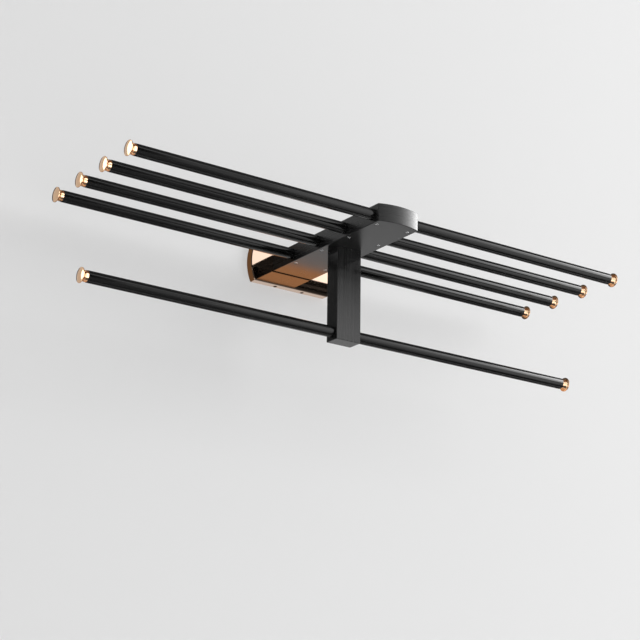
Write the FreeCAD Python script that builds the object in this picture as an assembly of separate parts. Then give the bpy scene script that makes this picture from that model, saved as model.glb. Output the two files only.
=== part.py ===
import FreeCAD
import Part
import math
import os

os.makedirs("parts", exist_ok=True)

# Towel rack with a shelf of rods, hung from one wall plate. All sizes are in millimetres.
# The wall is the plane y = 0, the room is towards -y, x runs along the rods and z is up.
# The origin is on the wall, behind the middle of the arm and level with the shelf rods.

# Rods
overall_length = 613.0        # over the domes of the end caps
rod_diameter = 12.0
rod_wall = 1.5
rod_end_chamfer = 0.3
rod_count = 4                 # shelf rods on each side of the arm
rod_pitch = 48.0
rear_rod_distance = 44.5      # wall to the axis of the shelf rod nearest to it
towel_rod_drop = 101.0        # shelf rods' level to the towel rods' level
towel_rod_lead = 0.5          # the towel rods' axis lies this far in front of the post's middle
rod_web = 6.0                 # solid metal between a left and a right rod
rod_clearance = 0.05          # around a rod in its bore

# Wall plate
plate_radius = 52.5
plate_height = 44.0           # across its two flats
plate_drop = 2.0              # the plate's middle lies this far below the arm's
plate_thickness = 9.0
plate_front_wall = 4.0
plate_side_wall = 3.0
plate_corner = 1.5            # rounding where the arcs meet the flats
plate_chamfer = 0.8           # round the front face
hook_rib_length = 44.0        # rib inside the plate that hangs on the bracket
hook_rib_height = 2.5         # from the plate's inside down to the bracket
hook_rib_room = 0.65          # between the rib and the wall

# Wall bracket
bracket_end_inset = 14.5      # from the plate's widest point to the bracket's end
bracket_sheet = 1.5
bracket_lip_room = 0.7        # between the lip's top edge and the plate's inside
bracket_bend = 0.6            # inside bend radius
bracket_corner = 1.5          # at the two ends of the lip
bracket_room = 0.3            # between the bracket's front edge and the plate
wall_hole_radius = 2.5
wall_hole_inset = 8.0         # from the bracket's end to a wall hole's axis
hook_clearance = 0.15         # between the hook rib and the lip's bend

# Support arm
arm_width = 50.0
arm_thickness = 19.0
arm_front_margin = 10.0       # front rod's axis to the arm's front corners
arm_crown = 5.0               # how far the front end bows out past its corners
arm_corner = 1.0
arm_edge = 0.5
arm_rear_round = 2.5          # over and under, where the arm meets the plate

# Drop post
post_width = 30.0
post_depth = 18.0
post_foot = 9.0               # below the towel rods' axis
post_edge = 0.5

# End caps
cap_length = 7.0              # from the rod's end to the head's outer edge
cap_dome = 1.5                # height of the head's domed face past that edge
cap_head_overhang = 1.8       # head past the rod's surface
cap_rim = 1.0                 # straight rim of the head
cap_rim_round = 0.35
cap_neck_step = 0.3           # neck below the rod's surface
cap_neck_length = 3.0
cap_neck_round = 0.3
cap_waist_step = 0.6          # waist of the flare below the neck
cap_flare_sag = 0.8           # how far the flare's curve lies inside a straight cone
cap_spigot_length = 10.0
cap_spigot_chamfer = 0.5
cap_clearance = 0.05          # around the spigot in the tube

# Set screws
set_screw_diameter = 4.0
set_screw_recess = 0.2        # below the face that it is driven in from
plate_screw_recess = 1.5      # the same, for the set screws in the plate
set_screw_socket = 2.0        # across the flats
set_screw_socket_depth = 1.2
set_screw_chamfer = 0.3
set_screw_inset = 6.0         # from the arm's side to the set screw's axis
post_screw_inset = 5.5        # from the post's side to the set screw's axis
plate_screw_spacing = 35.0
plate_screw_distance = 3.1    # wall to the axis of the set screws in the plate's lower flat
screw_clearance = 0.05        # around a screw in its tapped hole
hole_mouth = 0.3              # chamfer at the mouth of a set screw's hole

# Countersunk screws
flat_screw_diameter = 5.0
flat_screw_head = 9.2
flat_screw_socket = 3.0
flat_screw_socket_depth = 1.6
flat_screw_bite = 14.0        # length of thread in the piece that it holds
flat_screw_run_out = 2.0      # free hole past the screw's tip
arm_screw_spacing = 28.0
post_screw_spacing = 15.0

# Places that follow from the sizes
rod_radius = rod_diameter / 2.0
tube_bore = rod_radius - rod_wall
rod_inner_end = rod_web / 2.0
rod_outer_end = overall_length / 2.0 - cap_dome - cap_length
front_rod_y = -(rear_rod_distance + (rod_count - 1) * rod_pitch)
arm_rear_y = -plate_thickness
arm_corner_y = front_rod_y - arm_front_margin
arm_front_y = arm_corner_y - arm_crown
arm_top = arm_thickness / 2.0
arm_bottom = -arm_top
post_y = (arm_rear_y + arm_front_y) / 2.0
post_back_y = post_y + post_depth / 2.0
post_bottom = -towel_rod_drop - post_foot
towel_rod_y = post_y - towel_rod_lead
cavity_floor_y = -(plate_thickness - plate_front_wall)
inner_height = plate_height - 2.0 * plate_side_wall
bracket_length = 2.0 * (plate_radius - bracket_end_inset)
bracket_height = inner_height - 2.0 * hook_rib_height
bracket_front_y = cavity_floor_y + bracket_room
lip_back_y = bracket_front_y + bracket_sheet
lip_top = inner_height / 2.0 - bracket_lip_room
rib_front_y = lip_back_y + bracket_bend + hook_clearance
wall_hole_spacing = bracket_length - 2.0 * wall_hole_inset
sides = {"left": -1.0, "right": 1.0}
same_place = 1e-5             # two places closer than this are one


def vec(x, y, z):
    return FreeCAD.Vector(x, y, z)


def save(name, solids):
    shape = solids[0] if len(solids) == 1 else Part.makeCompound(solids)
    shape.exportStep("parts/" + name + ".step")


def cylinder(radius, start, direction, length):
    return Part.makeCylinder(radius, length, start, direction)


def edges_on(shape, test):
    """The shape's edges whose ends and middle all pass a test."""
    chosen = []
    for edge in shape.Edges:
        middle = edge.valueAt((edge.FirstParameter + edge.LastParameter) / 2.0)
        points = [vertex.Point for vertex in edge.Vertexes] + [middle]
        if all(test(point) for point in points):
            chosen.append(edge)
    return chosen


def near(value, target):
    return abs(value - target) < same_place


def polygon_prism(across_flats, start, direction, length):
    """A hexagonal bar, as cut by a socket key."""
    reach = across_flats / math.sqrt(3.0)
    corners = []
    for step in range(7):
        angle = math.radians(60.0 * step)
        corners.append(vec(reach * math.cos(angle), reach * math.sin(angle), 0.0))
    bar = Part.Face(Part.makePolygon(corners)).extrude(vec(0.0, 0.0, length))
    bar.Placement = FreeCAD.Placement(start, FreeCAD.Rotation(vec(0.0, 0.0, 1.0), direction))
    return bar


def turned(profile, start, direction):
    """A solid turned from (distance, radius) corners, along a direction from a start point."""
    points = [vec(radius, 0.0, distance) for distance, radius in profile]
    face = Part.Face(Part.makePolygon(points + [points[0]]))
    solid = face.revolve(vec(0.0, 0.0, 0.0), vec(0.0, 0.0, 1.0), 360.0)
    solid.Placement = FreeCAD.Placement(start, FreeCAD.Rotation(vec(0.0, 0.0, 1.0), direction))
    return solid


def set_screw(mouth, direction, head, tip_depth):
    """A socket set screw driven in at a mouth point on a face, with its head and tip at these depths."""
    radius = set_screw_diameter / 2.0
    edge = set_screw_chamfer
    profile = [(head, 0.0), (head, radius - edge), (head + edge, radius)]
    profile += [(tip_depth - edge, radius), (tip_depth, radius - edge), (tip_depth, 0.0)]
    start = mouth + direction * head
    socket = polygon_prism(set_screw_socket, start, direction, set_screw_socket_depth)
    return turned(profile, mouth, direction).cut(socket)


def set_screw_hole(mouth, direction, depth):
    """The tapped hole of a set screw, with its mouth broken."""
    radius = set_screw_diameter / 2.0 + screw_clearance
    wide = radius + hole_mouth
    profile = [(-hole_mouth, 0.0), (-hole_mouth, wide), (0.0, wide), (hole_mouth, radius)]
    profile += [(depth, radius), (depth, 0.0)]
    return turned(profile, mouth, direction)


def flat_screw_profile(grip, past_tip, grow):
    """Corners of a countersunk screw, or of its hole with grow all round. Grip is the clamped wall."""
    head = flat_screw_head / 2.0 + grow
    shank = flat_screw_diameter / 2.0 + grow
    tip = grip + flat_screw_bite + past_tip
    return [(0.0, 0.0), (0.0, head), (head - shank, shank), (tip, shank), (tip, 0.0)]


def flat_screw(mouth, direction, grip):
    profile = flat_screw_profile(grip, 0.0, 0.0)
    socket = polygon_prism(flat_screw_socket, mouth, direction, flat_screw_socket_depth)
    return turned(profile, mouth, direction).cut(socket)


def flat_screw_hole(mouth, direction, grip):
    profile = flat_screw_profile(grip, flat_screw_run_out, screw_clearance)
    return turned(profile, mouth, direction)


def pair(spacing):
    return [-spacing / 2.0, spacing / 2.0]


# Places of the screws and rods
shelf_rod_y = [front_rod_y + number * rod_pitch for number in range(rod_count)]
inward = vec(0.0, -1.0, 0.0)
up = vec(0.0, 0.0, 1.0)
down = vec(0.0, 0.0, -1.0)
arm_screw_places = [vec(x, cavity_floor_y, 0.0) for x in pair(arm_screw_spacing)]
post_screw_places = [vec(x, post_y, arm_top) for x in pair(post_screw_spacing)]
plate_middle = vec(0.0, 0.0, -plate_drop)
plate_bottom = -plate_drop - plate_height / 2.0
plate_screw_places = [vec(x, -plate_screw_distance, plate_bottom) for x in pair(plate_screw_spacing)]
shelf_screw_x = arm_width / 2.0 - set_screw_inset
towel_screw_x = post_width / 2.0 - post_screw_inset
shelf_screw_places = []
for y in shelf_rod_y:
    for side in sides.values():
        shelf_screw_places.append(vec(side * shelf_screw_x, y, arm_bottom))
towel_screw_places = [vec(side * towel_screw_x, post_back_y, -towel_rod_drop) for side in sides.values()]
shelf_screw_depth = arm_thickness / 2.0 - rod_radius
towel_screw_depth = post_back_y - (towel_rod_y + rod_radius)
plate_screw_depth = plate_height / 2.0 - bracket_height / 2.0


# Wall plate
def plate_block(radius, height, depth):
    """A round block with a flat top and bottom and rounded corners, from the wall to a depth."""
    flat = height / 2.0
    reach = math.sqrt(radius ** 2 - flat ** 2)
    outline = [
        Part.LineSegment(vec(-reach, 0.0, flat), vec(reach, 0.0, flat)),
        Part.Arc(vec(reach, 0.0, flat), vec(radius, 0.0, 0.0), vec(reach, 0.0, -flat)),
        Part.LineSegment(vec(reach, 0.0, -flat), vec(-reach, 0.0, -flat)),
        Part.Arc(vec(-reach, 0.0, -flat), vec(-radius, 0.0, 0.0), vec(-reach, 0.0, flat)),
    ]
    block = Part.Face(Part.Wire([line.toShape() for line in outline])).extrude(vec(0.0, -depth, 0.0))
    corners = edges_on(block, lambda p: near(abs(p.x), reach) and near(abs(p.z), flat))
    return block.makeFillet(plate_corner, corners)


plate = plate_block(plate_radius, plate_height, plate_thickness)
plate = plate.makeChamfer(plate_chamfer, edges_on(plate, lambda p: near(p.y, -plate_thickness)))
plate = plate.cut(plate_block(plate_radius - plate_side_wall, inner_height, -cavity_floor_y))
rib_thickness = -hook_rib_room - rib_front_y
rib_start = vec(-hook_rib_length / 2.0, rib_front_y, bracket_height / 2.0)
hook_rib = Part.makeBox(hook_rib_length, rib_thickness, hook_rib_height, rib_start)
plate = plate.fuse(hook_rib).removeSplitter().translated(plate_middle)
for place in arm_screw_places:
    plate = plate.cut(flat_screw_hole(place, inward, plate_front_wall))
for place in plate_screw_places:
    plate = plate.cut(set_screw_hole(place, up, 2.0 * plate_side_wall))
save("wall_plate", [plate])

# Wall bracket, a strip folded from sheet: flanges at top and bottom, and a lip above the top one
half = bracket_height / 2.0
skin = bracket_sheet
corners = [(0.0, -half), (0.0, half), (lip_back_y, half), (lip_back_y, lip_top)]
corners += [(bracket_front_y, lip_top), (bracket_front_y, half - skin), (-skin, half - skin)]
corners += [(-skin, -half + skin), (bracket_front_y, -half + skin), (bracket_front_y, -half)]
points = [vec(-bracket_length / 2.0, y, z) for y, z in corners]
bracket = Part.Face(Part.makePolygon(points + [points[0]])).extrude(vec(bracket_length, 0.0, 0.0))


def long_edges(shape, places):
    """Edges along x at the given (y, z) places."""
    return edges_on(shape, lambda p: any(near(p.y, y) and near(p.z, z) for y, z in places))


bracket = bracket.makeFillet(bracket_bend, long_edges(bracket, [corners[2], corners[6], corners[7]]))
bracket = bracket.makeFillet(bracket_bend + skin, long_edges(bracket, [corners[0], corners[1], corners[5]]))
lip_ends = edges_on(bracket, lambda p: near(abs(p.x), bracket_length / 2.0) and near(p.z, lip_top))
bracket = bracket.makeFillet(bracket_corner, lip_ends)
for x in pair(wall_hole_spacing):
    bracket = bracket.cut(cylinder(wall_hole_radius, vec(x, 0.0, 0.0), inward, bracket_sheet))
save("wall_bracket", [bracket.translated(plate_middle)])

# Support arm, a bar whose front end bows out in one arc
side = arm_width / 2.0
outline = [
    Part.LineSegment(vec(-side, arm_corner_y, arm_bottom), vec(-side, arm_rear_y, arm_bottom)),
    Part.LineSegment(vec(-side, arm_rear_y, arm_bottom), vec(side, arm_rear_y, arm_bottom)),
    Part.LineSegment(vec(side, arm_rear_y, arm_bottom), vec(side, arm_corner_y, arm_bottom)),
    Part.Arc(vec(side, arm_corner_y, arm_bottom), vec(0.0, arm_front_y, arm_bottom),
             vec(-side, arm_corner_y, arm_bottom)),
]
arm = Part.Face(Part.Wire([line.toShape() for line in outline])).extrude(vec(0.0, 0.0, arm_thickness))
arm = arm.makeFillet(arm_corner, edges_on(arm, lambda p: near(p.y, arm_corner_y) and near(abs(p.x), side)))
arm_rear = edges_on(arm, lambda p: near(p.y, arm_rear_y) and near(abs(p.z), arm_top))
arm = arm.makeFillet(arm_rear_round, arm_rear)
arm_rim = edges_on(arm, lambda p: near(abs(p.z), arm_top))
arm_rim = [edge for edge in arm_rim if not near(edge.CenterOfMass.y, arm_rear_y - arm_rear_round)]
arm_rim += edges_on(arm, lambda p: near(abs(p.x), side) and p.y > arm_rear_y - arm_rear_round - same_place)
arm = arm.makeFillet(arm_edge, arm_rim)
for y in shelf_rod_y:
    for side in sides.values():
        start = vec(side * rod_inner_end, y, 0.0)
        reach = arm_width / 2.0 - rod_inner_end
        arm = arm.cut(cylinder(rod_radius + rod_clearance, start, vec(side, 0.0, 0.0), reach))
for place in shelf_screw_places:
    arm = arm.cut(set_screw_hole(place, up, arm_thickness / 2.0))
for place in arm_screw_places:
    arm = arm.cut(flat_screw_hole(place, inward, plate_front_wall))
for place in post_screw_places:
    arm = arm.cut(flat_screw_hole(place, down, arm_thickness))
save("support_arm", [arm])

# Drop post, a bar hung under the middle of the arm
post_start = vec(-post_width / 2.0, post_y - post_depth / 2.0, post_bottom)
post = Part.makeBox(post_width, post_depth, arm_bottom - post_bottom, post_start)
post_rim = [edge for edge in post.Edges if not near(edge.BoundBox.ZMin, arm_bottom)]
post = post.makeFillet(post_edge, post_rim)
for side in sides.values():
    start = vec(side * rod_inner_end, towel_rod_y, -towel_rod_drop)
    reach = post_width / 2.0 - rod_inner_end
    post = post.cut(cylinder(rod_radius + rod_clearance, start, vec(side, 0.0, 0.0), reach))
for place in towel_screw_places:
    post = post.cut(set_screw_hole(place, inward, post_back_y - towel_rod_y))
for place in post_screw_places:
    post = post.cut(flat_screw_hole(place, down, arm_thickness))
save("drop_post", [post])

# Screws
save("arm_screws", [flat_screw(place, inward, plate_front_wall) for place in arm_screw_places])
save("post_screws", [flat_screw(place, down, arm_thickness) for place in post_screw_places])
set_screws = {
    "plate": (plate_screw_places, up, plate_screw_recess, plate_screw_depth),
    "shelf": (shelf_screw_places, up, set_screw_recess, shelf_screw_depth),
    "towel": (towel_screw_places, inward, set_screw_recess, towel_screw_depth),
}
for name, (places, direction, head, tip_depth) in set_screws.items():
    save(name + "_set_screws", [set_screw(place, direction, head, tip_depth) for place in places])


# Rods and caps
def rod(side, y, z):
    """One tube, from the web in the middle out to its cap."""
    edge = rod_end_chamfer
    length = rod_outer_end - rod_inner_end
    profile = [(0.0, tube_bore), (0.0, rod_radius - edge), (edge, rod_radius)]
    profile += [(length - edge, rod_radius), (length, rod_radius - edge), (length, tube_bore)]
    return turned(profile, vec(side * rod_inner_end, y, z), vec(side, 0.0, 0.0))


def cap(side, y, z):
    """A turned cap: a spigot in the tube, a neck ring, a hollow flare and a domed head with a thin rim."""
    head = rod_radius + cap_head_overhang
    neck = rod_radius - cap_neck_step
    waist = neck - cap_waist_step
    spigot = tube_bore - cap_clearance
    flare_end = cap_length - cap_rim
    middle = (cap_neck_length + flare_end) / 2.0
    tilt = math.atan2(head - waist, flare_end - cap_neck_length)
    bow_s = middle + cap_flare_sag * math.sin(tilt)
    bow_r = (waist + head) / 2.0 - cap_flare_sag * math.cos(tilt)
    dome_edge = head - cap_rim_round
    dome_radius = (dome_edge * dome_edge + cap_dome * cap_dome) / (2.0 * cap_dome)
    dome_centre = cap_length + cap_dome - dome_radius
    half_way = math.asin(dome_edge / dome_radius) / 2.0
    dome_s = dome_centre + dome_radius * math.cos(half_way)
    dome_r = dome_radius * math.sin(half_way)
    tail = -cap_spigot_length
    path = [
        [(tail, 0.0), (tail, spigot - cap_spigot_chamfer)],
        [(tail, spigot - cap_spigot_chamfer), (tail + cap_spigot_chamfer, spigot)],
        [(tail + cap_spigot_chamfer, spigot), (0.0, spigot)],
        [(0.0, spigot), (0.0, neck - cap_neck_round)],
        [(0.0, neck - cap_neck_round), (cap_neck_round, neck)],
        [(cap_neck_round, neck), (cap_neck_length - cap_neck_round, neck)],
        [(cap_neck_length - cap_neck_round, neck), (cap_neck_length, waist)],
        [(cap_neck_length, waist), (bow_s, bow_r), (flare_end, dome_edge)],
        [(flare_end, dome_edge), (flare_end + cap_rim_round, head)],
        [(flare_end + cap_rim_round, head), (cap_length - cap_rim_round, head)],
        [(cap_length - cap_rim_round, head), (cap_length, dome_edge)],
        [(cap_length, dome_edge), (dome_s, dome_r), (cap_length + cap_dome, 0.0)],
        [(cap_length + cap_dome, 0.0), (tail, 0.0)],
    ]
    lines = []
    for run in path:
        ends = [vec(radius, 0.0, distance) for distance, radius in run]
        lines.append((Part.LineSegment(*ends) if len(ends) == 2 else Part.Arc(*ends)).toShape())
    solid = Part.Face(Part.Wire(lines)).revolve(vec(0.0, 0.0, 0.0), vec(0.0, 0.0, 1.0), 360.0)
    turn = FreeCAD.Rotation(vec(0.0, 0.0, 1.0), vec(side, 0.0, 0.0))
    solid.Placement = FreeCAD.Placement(vec(side * rod_outer_end, y, z), turn)
    return solid


for name, side in sides.items():
    for number, y in enumerate(shelf_rod_y, start=1):
        save("shelf_rod_%d_%s" % (number, name), [rod(side, y, 0.0)])
        save("shelf_cap_%d_%s" % (number, name), [cap(side, y, 0.0)])
    save("towel_rod_" + name, [rod(side, towel_rod_y, -towel_rod_drop)])
    save("towel_cap_" + name, [cap(side, towel_rod_y, -towel_rod_drop)])
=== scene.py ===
import math
import bpy
from mathutils import Matrix, Quaternion, Vector


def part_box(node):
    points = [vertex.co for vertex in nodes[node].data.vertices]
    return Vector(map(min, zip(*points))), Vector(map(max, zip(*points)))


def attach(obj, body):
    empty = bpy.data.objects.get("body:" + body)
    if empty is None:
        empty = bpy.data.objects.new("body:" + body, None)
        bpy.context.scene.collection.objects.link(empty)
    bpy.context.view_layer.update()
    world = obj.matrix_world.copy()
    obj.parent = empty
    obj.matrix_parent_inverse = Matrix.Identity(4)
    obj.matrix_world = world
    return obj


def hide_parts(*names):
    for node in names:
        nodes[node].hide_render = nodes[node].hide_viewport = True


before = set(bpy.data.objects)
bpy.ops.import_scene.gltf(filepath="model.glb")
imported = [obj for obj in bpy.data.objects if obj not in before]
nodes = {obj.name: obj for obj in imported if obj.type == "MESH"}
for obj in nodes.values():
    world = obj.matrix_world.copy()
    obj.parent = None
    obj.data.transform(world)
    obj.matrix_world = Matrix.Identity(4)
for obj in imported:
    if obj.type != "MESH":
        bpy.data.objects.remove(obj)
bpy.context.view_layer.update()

# Lengths are in metres and angles in degrees. X runs to the right along the wall, Y into the wall
# and Z up. The rack's back is at Y = 0.

# Camera, at the photograph's place below and to the left of the rack. Lens and sensor are in mm.
camera_aim = Vector((-0.0114, -0.0799, -0.0805))
camera_distance = 1.8918
camera_azimuth = -34.87
camera_elevation = -17.96
camera_roll = 0.83
camera_lens = 102.35
camera_sensor = 36.0
camera_near = 0.05
camera_far = 100.0

# Turned caps and tubes, as in the part's source
cap_length = 0.0070           # from the rod's end to the head's outer edge
cap_dome = 0.0015             # the dome's height over that edge
cap_dome_eye = 0.00008        # radius of the dome's innermost ring
cap_rim = 0.0010
cap_rim_round = 0.00035
cap_neck_step = 0.0003        # from the rod's radius down to the neck's
cap_neck_length = 0.0030
cap_neck_round = 0.0003
cap_waist_step = 0.0006       # from the neck's radius down to the waist's
cap_flare_sag = 0.0008        # how far the flare bows inwards
spigot_radius = 0.00445
spigot_shown = 0.004          # length of spigot that is modelled inside the tube
spigot_eye = 0.0002           # radius of the spigot's innermost ring
tube_wall = 0.0015
tube_edge = 0.0003            # rounding of a tube's ends

# Fineness of the turned meshes
turned_steps = 72             # faces round a turned piece
corner_steps = 4
neck_steps = 6
flare_steps = 14
rim_steps = 5
dome_steps = 12
sharp_angle = 50.0            # edges sharper than this aren't smoothed

# Finishes. Grain is in features per metre along X, Y and Z.
noise_low = 0.3               # the part of a noise texture's range that is spread out
noise_high = 0.7
coat_darkest = (0.001, 0.001, 0.001)
hairline_detail = 3.0
fine_grain = (2200.0, 2200.0, 2200.0)
fine_detail = 2.0
fine_bump = 0.05
fine_bump_height = 0.00005
paint_roughness = 0.9
paint_gloss = 0.1
white = (1.0, 1.0, 1.0)
black = (0.0, 0.0, 0.0)

# Stage
rack_middle = Vector((0.0, -0.1, -0.05))
floor_drop = 1.6              # the rack hangs this high above the floor
floor_reach = 30.0
wall_reach = 6.0
wall_gap = 0.0005             # between the plate's back and the wall
opening_side = 0.046          # opening in the wall, hidden by the plate
opening_bottom = -0.022
opening_top = 0.018
wall_colour = (0.80, 0.80, 0.80, 1.0)
floor_colour = (0.86, 0.86, 0.86, 1.0)
glow_left = (-0.35, 0.71)     # place along X and level of the wall's painted glow, brighter to the right where the key lamp shines
glow_right = (0.50, 0.81)
glow_share = 0.58             # of the wall's look, the rest is lit paint
world_level = 0.60

# Lamps
key_way = Vector((0.75, -0.62, 0.42))
key_distance = 4.5
into_wall = (0.0, 1.0, 0.0)
out_of_wall = (0.0, -1.0, 0.0)
downwards = (0.0, 0.0, -1.0)
upwards_leaning = (0.0, 0.1, 1.0)
to_post = (-0.572, 0.82, 0.0)

# Cards. The wall flag has openings for the plate and for two paler cards, which the arm shows.
room_front = -2.6             # along Y
front_split = 1.12            # along X, where the front cards and the side card meet
overhead = 1.3                # along Z
before_wall = 0.0003          # along Y
arm_side_left = -0.2
arm_side_bottom = 0.034
arm_side_top = 0.12
arm_under_right = 0.20
arm_under_bottom = -0.22
wall_flag_across = [-0.315, arm_side_left, -opening_side, opening_side, arm_under_right, 1.1]
wall_flag_upward = [-0.45, arm_under_bottom, opening_bottom, opening_top,
                    arm_side_bottom, arm_side_top, 0.80]
wall_flag_openings = [(1, 2), (1, 3), (2, 2), (4, 1)]     # as (row, column)

single_face = [(0, 1, 2, 3)]


# Finishes
def new_material(name):
    material = bpy.data.materials.new(name)
    material.use_nodes = True
    tree = material.node_tree
    return material, tree, tree.nodes["Principled BSDF"]


def noise(tree, grain, detail):
    """Noise in the object's own coordinates."""
    place = tree.nodes.new("ShaderNodeTexCoord")
    stretch = tree.nodes.new("ShaderNodeMapping")
    texture = tree.nodes.new("ShaderNodeTexNoise")
    stretch.inputs["Scale"].default_value = grain
    texture.inputs["Scale"].default_value = 1.0
    texture.inputs["Detail"].default_value = detail
    tree.links.new(place.outputs["Object"], stretch.inputs["Vector"])
    tree.links.new(stretch.outputs["Vector"], texture.inputs["Vector"])
    return texture.outputs["Fac"]


def spread(tree, value, low, high):
    """Maps a noise value onto a range."""
    node = tree.nodes.new("ShaderNodeMapRange")
    node.inputs["From Min"].default_value = noise_low
    node.inputs["From Max"].default_value = noise_high
    node.inputs["To Min"].default_value = low
    node.inputs["To Max"].default_value = high
    tree.links.new(value, node.inputs["Value"])
    return node.outputs["Result"]


def tint(tree, value, dark, light):
    """A colour between dark and light."""
    node = tree.nodes.new("ShaderNodeMix")
    node.data_type = "RGBA"
    node.inputs["A"].default_value = (*dark, 1.0)
    node.inputs["B"].default_value = (*light, 1.0)
    tree.links.new(value, node.inputs["Factor"])
    return node.outputs["Result"]


def bump(tree, value, strength, height):
    node = tree.nodes.new("ShaderNodeBump")
    node.inputs["Strength"].default_value = strength
    node.inputs["Distance"].default_value = height
    tree.links.new(value, node.inputs["Height"])
    return node.outputs["Normal"]


def black_coat_material(name, grain, palest, gloss, smoothest, roughest):
    """Satin black coat over brushed metal, with hairlines along the axis of the least grain."""
    material, tree, shader = new_material(name)
    hairline = noise(tree, grain, hairline_detail)
    fine = noise(tree, fine_grain, fine_detail)
    shade = spread(tree, hairline, 0.0, 1.0)
    colour = tint(tree, shade, coat_darkest, (palest, palest, palest))
    shader.inputs["Specular IOR Level"].default_value = gloss
    tree.links.new(colour, shader.inputs["Base Color"])
    tree.links.new(spread(tree, hairline, smoothest, roughest), shader.inputs["Roughness"])
    tree.links.new(bump(tree, fine, fine_bump, fine_bump_height), shader.inputs["Normal"])
    return material


def metal_material(name, grain, detail, dark, light, smoothest, roughest):
    """Bare metal whose tint and roughness vary in patches."""
    material, tree, shader = new_material(name)
    patches = noise(tree, (grain, grain, grain), detail)
    shader.inputs["Metallic"].default_value = 1.0
    tree.links.new(tint(tree, patches, dark, light), shader.inputs["Base Color"])
    tree.links.new(spread(tree, patches, smoothest, roughest), shader.inputs["Roughness"])
    return material


def gold_material(name, dark, light):
    return metal_material(name, grain=60.0, detail=3.0, dark=dark, light=light,
                          smoothest=0.04, roughest=0.07)


finishes = {
    "black_coat": black_coat_material("arm_coat", grain=(5.0, 5.0, 800.0), palest=0.016, gloss=0.6,
                                      smoothest=0.26, roughest=0.31),
    "gold": gold_material("gold", dark=(0.78, 0.57, 0.44), light=(0.82, 0.60, 0.47)),
    "steel": metal_material("steel", grain=300.0, detail=4.0, dark=(0.60, 0.60, 0.61),
                            light=(0.70, 0.70, 0.70), smoothest=0.12, roughest=0.20),
}
# The tubes' coat is a darker copy of the arm's coat, with its hairlines along the tubes: painted
# shade.
tube_coat = black_coat_material("tube_coat", grain=(5.0, 800.0, 800.0), palest=0.009, gloss=0.6,
                                smoothest=0.12, roughest=0.16)
# The caps' gold is a darker, more saturated copy of the plate's gold: painted shade.
cap_gold = gold_material("cap_gold", dark=(0.71, 0.47, 0.295), light=(0.77, 0.51, 0.325))
post_coat = black_coat_material("post_coat", grain=(1100.0, 1100.0, 5.0), palest=0.020, gloss=0.5,
                                smoothest=0.13, roughest=0.165)
# A darker steel for the plate's recessed set screws than for the arm's.
plate_screw_steel = metal_material("dark_steel", grain=300.0, detail=4.0, dark=(0.035, 0.034, 0.033),
                             light=(0.060, 0.058, 0.056), smoothest=0.35, roughest=0.45)
for node in nodes.values():
    finish_name = node.material_slots[0].material.name.split(".")[0]
    node.material_slots[0].material = finishes[finish_name]
nodes["drop_post"].material_slots[0].material = post_coat
nodes["plate_set_screws"].material_slots[0].material = plate_screw_steel


# Turned pieces
def arc(start, middle, end, steps):
    """Points on the circle through three points, without the first."""
    a, b, c = Vector(start), Vector(middle), Vector(end)
    d = 2.0 * (a.x * (b.y - c.y) + b.x * (c.y - a.y) + c.x * (a.y - b.y))
    x = (a.dot(a) * (b.y - c.y) + b.dot(b) * (c.y - a.y) + c.dot(c) * (a.y - b.y)) / d
    y = (a.dot(a) * (c.x - b.x) + b.dot(b) * (a.x - c.x) + c.dot(c) * (b.x - a.x)) / d
    centre = Vector((x, y))
    radius = (a - centre).length
    first = math.atan2(a.y - y, a.x - x)
    sweep = math.atan2(c.y - y, c.x - x) - first
    sweep = (sweep + math.pi) % (2.0 * math.pi) - math.pi
    points = []
    for i in range(1, steps + 1):
        angle = first + sweep * i / steps
        points.append(centre + radius * Vector((math.cos(angle), math.sin(angle))))
    return points


def corner(start, middle, end, steps=corner_steps):
    """A rounded corner: a curve from start to end that leans on the middle point."""
    a, b, c = Vector(start), Vector(middle), Vector(end)
    points = []
    for i in range(1, steps + 1):
        t = i / steps
        points.append(a * (1.0 - t) ** 2 + b * 2.0 * t * (1.0 - t) + c * t * t)
    return points


def turned_mesh(name, profile, material, closed):
    """A mesh of a profile of (distance, radius) points turned about the X axis. A closed profile
    makes a ring, and an open one gets a face at each end."""
    points = []
    faces = []
    for distance, radius in profile:
        for step in range(turned_steps):
            angle = 2.0 * math.pi * step / turned_steps
            points.append((distance, radius * math.cos(angle), radius * math.sin(angle)))
    rings = len(profile)
    for ring in range(rings if closed else rings - 1):
        after = (ring + 1) % rings
        for step in range(turned_steps):
            beside = (step + 1) % turned_steps
            faces.append((ring * turned_steps + step, after * turned_steps + step,
                          after * turned_steps + beside, ring * turned_steps + beside))
    if not closed:
        faces.append(tuple(range(turned_steps)))
        faces.append(tuple(reversed(range((rings - 1) * turned_steps, rings * turned_steps))))
    mesh = bpy.data.meshes.new(name)
    mesh.from_pydata(points, [], faces)
    mesh.materials.append(material)
    mesh.shade_smooth()
    mesh.set_sharp_from_angle(angle=math.radians(sharp_angle))
    return mesh


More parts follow.
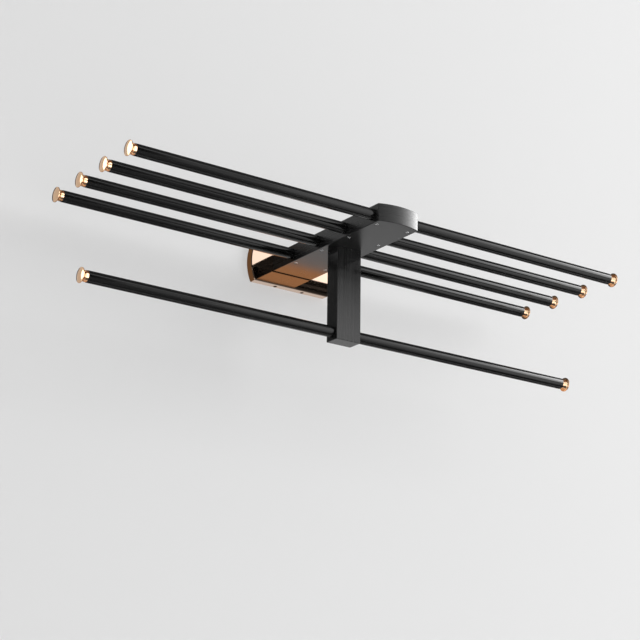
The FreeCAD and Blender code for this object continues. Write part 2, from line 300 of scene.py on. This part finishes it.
def cap_profile(rod_radius, head_overhang):
    """Spigot, neck, waist, flare, rim and dome of a cap, with the rod's end at 0."""
    head = rod_radius + head_overhang
    neck = rod_radius - cap_neck_step
    waist = neck - cap_waist_step
    flare_end = cap_length - cap_rim
    edge = head - cap_rim_round
    tilt = math.atan2(head - waist, flare_end - cap_neck_length)
    flare_middle = ((cap_neck_length + flare_end) / 2.0 + cap_flare_sag * math.sin(tilt),
                    (waist + head) / 2.0 - cap_flare_sag * math.cos(tilt))
    dome_radius = (edge * edge + cap_dome * cap_dome) / (2.0 * cap_dome)
    dome_centre = cap_length + cap_dome - dome_radius
    dome_reach = math.asin(edge / dome_radius)
    profile = [Vector((-spigot_shown, spigot_eye)), Vector((-spigot_shown, spigot_radius))]
    profile.append(Vector((0.0, spigot_radius)))
    profile.append(Vector((0.0, neck - cap_neck_round)))
    profile += corner(profile[-1], (0.0, neck), (cap_neck_round, neck))
    profile.append(Vector((cap_neck_length - cap_neck_round, neck)))
    profile += corner(profile[-1], (cap_neck_length, neck), (cap_neck_length, waist), neck_steps)
    profile += arc(profile[-1], flare_middle, (flare_end, edge), flare_steps)
    profile += corner(profile[-1], (flare_end, head), (flare_end + cap_rim_round, head), rim_steps)
    profile.append(Vector((cap_length - cap_rim_round, head)))
    profile += corner(profile[-1], (cap_length, head), (cap_length, edge), rim_steps)
    for step in range(1, dome_steps + 1):
        angle = dome_reach * (1.0 - step / dome_steps)
        radius = max(dome_radius * math.sin(angle), cap_dome_eye)
        profile.append(Vector((dome_centre + dome_radius * math.cos(angle), radius)))
    return profile


def tube_profile(length, rod_radius):
    """Outside, ends and bore of a tube, as a closed profile."""
    bore = rod_radius - tube_wall
    edge = rod_radius - tube_edge
    profile = [Vector((0.0, bore)), Vector((0.0, edge))]
    profile += corner(profile[-1], (0.0, rod_radius), (tube_edge, rod_radius))
    profile.append(Vector((length - tube_edge, rod_radius)))
    profile += corner(profile[-1], (length, rod_radius), (length, edge))
    profile.append(Vector((length, bore)))
    return profile


def add_piece(name, mesh, place, side, node_name):
    """A new piece in a CAD node's place. Side is 1 for the right, and -1 for the left, where the
    piece is turned half round."""
    obj = bpy.data.objects.new(name, mesh)
    turn = Matrix.Rotation(0.0 if side > 0 else math.pi, 4, "Z")
    obj.matrix_world = Matrix.Translation(place) @ turn
    bpy.context.scene.collection.objects.link(obj)
    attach(obj, "root")
    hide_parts(node_name)
    return obj


def add_turned_pieces():
    """Smooth tubes and caps in place of the CAD's. Gives back the pieces that some lamps are kept
    to: the left tubes, the left caps and the right caps."""
    left_tubes = []
    left_caps = []
    right_caps = []
    rod_low, rod_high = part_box("shelf_rod_1_right")
    cap_low, cap_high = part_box("shelf_cap_1_right")
    rod_radius = (rod_high.z - rod_low.z) / 2.0
    head_overhang = (cap_high.z - cap_low.z - rod_high.z + rod_low.z) / 2.0
    tube = turned_mesh("tube", tube_profile(rod_high.x - rod_low.x, rod_radius), tube_coat, True)
    cap = turned_mesh("cap", cap_profile(rod_radius, head_overhang), cap_gold, False)
    for rod_node in sorted(nodes):
        if "_rod_" in rod_node:
            cap_node = rod_node.replace("_rod_", "_cap_")
            low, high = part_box(rod_node)
            side = 1 if high.x > 0.0 else -1
            axis = (low + high) / 2.0
            inner = (side * min(abs(low.x), abs(high.x)), axis.y, axis.z)
            outer = (side * max(abs(low.x), abs(high.x)), axis.y, axis.z)
            rod_piece = add_piece(rod_node + "_tube", tube, inner, side, rod_node)
            cap_piece = add_piece(cap_node + "_turned", cap, outer, side, cap_node)
            if side > 0:
                right_caps.append(cap_piece)
            else:
                left_tubes.append(rod_piece)
                left_caps.append(cap_piece)
    return left_tubes, left_caps, right_caps


left_tubes, left_caps, right_caps = add_turned_pieces()
caps = left_caps + right_caps


# Stage
def plain_material(name, colour):
    material, tree, shader = new_material(name)
    shader.inputs["Base Color"].default_value = colour
    shader.inputs["Roughness"].default_value = paint_roughness
    shader.inputs["Specular IOR Level"].default_value = paint_gloss
    return material, tree, shader


def stage_mesh(name, points, faces, material):
    mesh = bpy.data.meshes.new(name)
    mesh.from_pydata(points, [], faces)
    mesh.materials.append(material)
    obj = bpy.data.objects.new(name, mesh)
    bpy.context.scene.collection.objects.link(obj)
    return obj


def upright(start, end, bottom, top):
    """Corners of an upright sheet between two (x, y) places. Its front is on the right of someone
    who walks from start to end."""
    return [(*start, bottom), (*end, bottom), (*end, top), (*start, top)]


def lying(left, right, start, end):
    """Corners of a lying sheet between two (y, z) places. Its front is up where end is nearer the
    wall than start, and down where it isn't."""
    return [(left, *start), (right, *start), (right, *end), (left, *end)]


def upright_grid(across, upward, y, openings):
    """Points and faces of a sheet along the wall, whose openings are (row, column) cells."""
    points = [(x, y, z) for z in upward for x in across]
    faces = []
    for row in range(len(upward) - 1):
        for column in range(len(across) - 1):
            if (row, column) not in openings:
                first = row * len(across) + column
                over = first + len(across)
                faces.append((first, first + 1, over + 1, over))
    return points, faces


def add_floor():
    material, _, _ = plain_material("floor_paint", floor_colour)
    near = (-floor_reach, -floor_drop)
    far = (floor_reach, -floor_drop)
    stage_mesh("floor", lying(-floor_reach, floor_reach, near, far), single_face, material)


def show_front_only(tree, surface):
    """Makes a sheet clear from behind, so that the rack's back can be seen and lit through it."""
    side = tree.nodes.new("ShaderNodeNewGeometry")
    clear = tree.nodes.new("ShaderNodeBsdfTransparent")
    choice = tree.nodes.new("ShaderNodeMixShader")
    tree.links.new(side.outputs["Backfacing"], choice.inputs["Fac"])
    tree.links.new(surface, choice.inputs[1])
    tree.links.new(clear.outputs["BSDF"], choice.inputs[2])
    tree.links.new(choice.outputs["Shader"], tree.nodes["Material Output"].inputs["Surface"])


def place_along_x(tree):
    """A surface point's X, in the object's own coordinates."""
    place = tree.nodes.new("ShaderNodeTexCoord")
    parts = tree.nodes.new("ShaderNodeSeparateXYZ")
    tree.links.new(place.outputs["Object"], parts.inputs["Vector"])
    return parts.outputs["X"]


def painted_glow(tree, shader):
    """Painted light: lets a sheet glow for the camera, in reflections and through glass, more to the
    right where the key lamp shines, so that shadows on it stay faint."""
    x = place_along_x(tree)
    level = tree.nodes.new("ShaderNodeMapRange")
    glow = tree.nodes.new("ShaderNodeEmission")
    path = tree.nodes.new("ShaderNodeLightPath")
    mirrored = tree.nodes.new("ShaderNodeMath")
    seen = tree.nodes.new("ShaderNodeMath")
    share = tree.nodes.new("ShaderNodeMath")
    blend = tree.nodes.new("ShaderNodeMixShader")
    level.inputs["From Min"].default_value = glow_left[0]
    level.inputs["From Max"].default_value = glow_right[0]
    level.inputs["To Min"].default_value = glow_left[1]
    level.inputs["To Max"].default_value = glow_right[1]
    mirrored.operation = "MAXIMUM"
    seen.operation = "MAXIMUM"
    share.operation = "MULTIPLY"
    share.inputs[1].default_value = glow_share
    tree.links.new(x, level.inputs["Value"])
    tree.links.new(level.outputs["Result"], glow.inputs["Strength"])
    tree.links.new(path.outputs["Is Camera Ray"], seen.inputs[0])
    tree.links.new(path.outputs["Is Glossy Ray"], mirrored.inputs[0])
    tree.links.new(path.outputs["Is Transmission Ray"], mirrored.inputs[1])
    tree.links.new(mirrored.outputs["Value"], seen.inputs[1])
    tree.links.new(seen.outputs["Value"], share.inputs[0])
    tree.links.new(share.outputs["Value"], blend.inputs["Fac"])
    tree.links.new(shader.outputs["BSDF"], blend.inputs[1])
    tree.links.new(glow.outputs["Emission"], blend.inputs[2])
    return blend.outputs["Shader"]


def add_wall():
    """A plain wall behind the rack, seen from the room only and open behind the plate."""
    material, tree, shader = plain_material("wall_paint", wall_colour)
    show_front_only(tree, painted_glow(tree, shader))
    across = [-wall_reach, -opening_side, opening_side, wall_reach]
    upward = [-floor_drop, opening_bottom, opening_top, wall_reach]
    points, faces = upright_grid(across, upward, wall_gap, [(1, 1)])
    stage_mesh("wall", points, faces, material)


# Studio
def add_card(name, points, level=0.0, colour=white, faces=single_face):
    """A studio card that shows in reflections only. A bright one lights an edge, and a dark one,
    called a flag, deepens it. A card with no level is a black one, or gets its level by fading."""
    material, tree, shader = new_material(name)
    shader.inputs["Base Color"].default_value = (*black, 1.0)
    shader.inputs["Specular IOR Level"].default_value = 0.0
    shader.inputs["Emission Color"].default_value = (*colour, 1.0)
    shader.inputs["Emission Strength"].default_value = level
    show_front_only(tree, shader.outputs["BSDF"])
    card = stage_mesh(name, points, faces, material)
    card.visible_camera = False
    card.visible_diffuse = False
    card.visible_shadow = False
    card.visible_transmission = False
    return card


def fade_card(card, start, end, first_level, last_level, power=1.0):
    """Lets a card's level change along X, from start to end, in a curve of a power."""
    tree = card.active_material.node_tree
    shader = tree.nodes["Principled BSDF"]
    x = place_along_x(tree)
    along = tree.nodes.new("ShaderNodeMapRange")
    curve = tree.nodes.new("ShaderNodeMath")
    level = tree.nodes.new("ShaderNodeMapRange")
    along.inputs["From Min"].default_value = start
    along.inputs["From Max"].default_value = end
    curve.operation = "POWER"
    curve.inputs[1].default_value = power
    level.inputs["To Min"].default_value = first_level
    level.inputs["To Max"].default_value = last_level
    tree.links.new(x, along.inputs["Value"])
    tree.links.new(along.outputs["Result"], curve.inputs[0])
    tree.links.new(curve.outputs["Value"], level.inputs["Value"])
    tree.links.new(level.outputs["Result"], shader.inputs["Emission Strength"])


def aim(obj, place, way, roll=0.0):
    """Puts a lamp or a camera in a place, facing a way and rolled about it."""
    obj.location = place
    obj.rotation_mode = "QUATERNION"
    turn = Quaternion((0.0, 0.0, 1.0), math.radians(roll))
    obj.rotation_quaternion = Vector(way).to_track_quat("-Z", "Y") @ turn
    bpy.context.scene.collection.objects.link(obj)


def link_light(light, pieces):
    """Lets a lamp or a card shine on some pieces only."""
    group = bpy.data.collections.new(light.name + "_receivers")
    for piece in pieces:
        group.objects.link(piece)
    light.light_linking.receiver_collection = group


def hide_from(card, pieces):
    """Makes a card look black in some pieces."""
    link_light(card, pieces)
    for link in card.light_linking.receiver_collection.collection_objects:
        link.light_linking.link_state = "EXCLUDE"


def add_lamp(name, place, way, size, radiance, pieces=None, colour=white, roll=0.0):
    """A soft lamp. Radiance is how bright its face looks in a mirror. With pieces, it shows only in
    the gloss of those. Without, it lights everything and shows in no gloss."""
    width, height = size
    lamp = bpy.data.lights.new(name, "AREA")
    lamp.shape = "RECTANGLE"
    lamp.size = width
    lamp.size_y = height
    lamp.energy = radiance * math.pi * width * height
    lamp.color = colour
    obj = bpy.data.objects.new(name, lamp)
    aim(obj, place, way, roll)
    obj.visible_camera = False
    obj.visible_diffuse = pieces is None
    obj.visible_glossy = pieces is not None
    if pieces is not None:
        link_light(obj, pieces)


def add_world():
    world = bpy.data.worlds.new("studio")
    world.use_nodes = True
    bpy.context.scene.world = world
    background = world.node_tree.nodes["Background"]
    background.inputs["Color"].default_value = (*white, 1.0)
    background.inputs["Strength"].default_value = world_level


def add_lamps():
    """The key lamp, and lamps that show in the gloss of some pieces."""
    add_lamp("key", rack_middle + key_distance * key_way, -key_way, size=(3.4, 2.8), radiance=4.9)
    add_lamp("warm_lamp", (0.06, -0.09, -0.065), into_wall, size=(0.15, 0.10), radiance=2.0,
             pieces=[nodes["wall_plate"], nodes["support_arm"]], colour=(1.0, 0.58, 0.30))
    add_lamp("screw_lamp", (0.1, -0.35, -0.7), upwards_leaning, size=(1.4, 1.0), radiance=5.0,
             pieces=[nodes["shelf_set_screws"]])
    add_lamp("cap_lamp", (-0.45, -0.9, -0.45), into_wall, size=(4.1, 2.0), radiance=1.55,
             pieces=right_caps)
    add_lamp("left_cap_lamp", (-0.19, -0.85, -0.45), into_wall, size=(1.62, 2.0), radiance=3.1,
             pieces=left_caps)
    add_lamp("cap_low_lamp", (0.27, -0.001, -0.32), out_of_wall, size=(1.06, 0.56), radiance=0.6,
             pieces=caps, colour=(1.0, 0.60, 0.33))
    add_lamp("cap_top_lamp", (0.35, -0.45, 0.7), downwards, size=(2.4, 0.9), radiance=0.2,
             pieces=caps, colour=(1.0, 0.5, 0.22))
    add_lamp("left_rod_lamp", (0.975, -1.5, 0.425), into_wall, size=(1.45, 1.55), radiance=0.6,
             pieces=left_tubes)
    add_lamp("inner_rod_lamp", (1.27, -1.48, 0.775), into_wall, size=(1.05, 2.25), radiance=0.5,
             pieces=left_tubes, roll=-10.3)
    add_lamp("post_low_lamp", (1.333, -2.06, 0.2675), to_post, size=(1.3, 0.935), radiance=2.05,
             pieces=[nodes["drop_post"]])
    add_lamp("post_top_lamp", (1.333, -2.06, 1.2), to_post, size=(1.3, 0.6), radiance=3.2,
             pieces=[nodes["drop_post"]])


def add_cards():
    """Cards round the rack, from the front to the wall."""
    # The front of the room
    front_card = add_card(
        "front_card", upright((front_split, room_front), (-0.45, room_front), -1.5, 1.6))
    fade_card(front_card, start=-0.2, end=front_split, first_level=0.62, last_level=1.10)
    front_right_card = add_card(
        "front_right_card", upright((3.0, room_front), (front_split, room_front), -0.65, 0.15),
        level=1.0)
    low_card = add_card("low_card", lying(-0.5, 3.0, (-2.59, -0.65), (-0.55, -0.76)))
    fade_card(low_card, start=0.30, end=1.30, first_level=0.22, last_level=1.0)
    add_card("left_overhead_flag", lying(-0.3, 0.98, (-0.85, overhead), (-1.4, overhead)), level=0.12)

    # A little way in front of the plate, under a rod's reflection
    add_card("plate_flag", upright((0.12, -0.0445), (-0.03, -0.0445), -0.0115, -0.005), level=0.02)

    # The sides, the top and the floor
    side_card = add_card("side_card", upright((2.6, -0.15), (front_split, room_front), 0.15, 1.7))
    fade_card(side_card, start=1.19, end=2.6, first_level=1.20, last_level=17.5, power=2.25)
    wall_card = add_card("wall_card", upright((1.15, -0.003), (2.7, -0.003), 0.15, 1.3), level=7.0)
    add_card("left_flag", upright((-0.46, room_front), (-1.4, -0.3), -0.3, 2.0), level=0.05)
    left_side_card = add_card(
        "left_side_card", upright((-0.55, -1.05), (-0.9, -0.8), 0.72, 1.3), level=2.5)
    front_top_card = add_card(
        "front_top_card", upright((0.35, -1.7), (-0.4, -1.7), 1.2, 1.9), level=2.5)
    add_card("right_flag", upright((1.3, -0.02), (1.3, -0.8), -1.2, 0.0), level=0.05)
    ceiling_flag = add_card(
        "ceiling_flag", lying(-0.8, 1.2, (-0.01, 0.8), (-0.22, 0.8)), level=0.08)
    overhead_flag = add_card(
        "overhead_flag", lying(-1.0, 1.7, (-0.2, overhead), (-0.85, overhead)), level=0.12)
    floor_flag = add_card("floor_flag", lying(-0.6, 1.2, (-0.55, -0.75), (-0.01, -0.75)))
    fade_card(floor_flag, start=0.10, end=0.90, first_level=0.16, last_level=0.04)

    # Along the wall, and a black one behind the warm lamp
    add_card("left_card", upright((-1.6, -0.002), (-0.46, -0.002), -0.35, 0.6), level=3.2)
    add_card("brown_card", upright((-0.075, 0.0002), (-0.046, 0.0002), -0.035, 0.03), level=0.15,
             colour=(1.0, 0.62, 0.33))
    add_card("warm_flag", upright((0.135, -0.093), (-0.015, -0.093), -0.115, -0.015))
    points, faces = upright_grid(wall_flag_across, wall_flag_upward, before_wall, wall_flag_openings)
    add_card("wall_flag", points, level=0.12, faces=faces)
    add_card("arm_side_card", upright((arm_side_left, before_wall), (-opening_side, before_wall),
                                      arm_side_bottom, arm_side_top), level=0.55)
    add_card("arm_under_card", upright((-opening_side, before_wall), (arm_under_right, before_wall),
                                       arm_under_bottom, opening_bottom), level=0.62)

    for card in (front_card, front_right_card):
        hide_from(card, left_tubes + caps)
    hide_from(side_card, left_tubes + caps + [nodes["drop_post"]])
    for card in (wall_card, ceiling_flag, overhead_flag, left_side_card, front_top_card):
        hide_from(card, caps)


def add_camera():
    camera = bpy.data.cameras.new("camera")
    camera.lens = camera_lens
    camera.sensor_width = camera_sensor
    camera.clip_start = camera_near
    camera.clip_end = camera_far
    obj = bpy.data.objects.new("camera", camera)
    a = math.radians(camera_azimuth)
    e = math.radians(camera_elevation)
    back = Vector((math.sin(a) * math.cos(e), -math.cos(a) * math.cos(e), math.sin(e)))
    aim(obj, camera_aim + back * camera_distance, -back, camera_roll)
    bpy.context.scene.camera = obj


add_floor()
add_wall()
add_world()
add_lamps()
add_cards()
add_camera()
bpy.context.scene.view_settings.view_transform = "Standard"
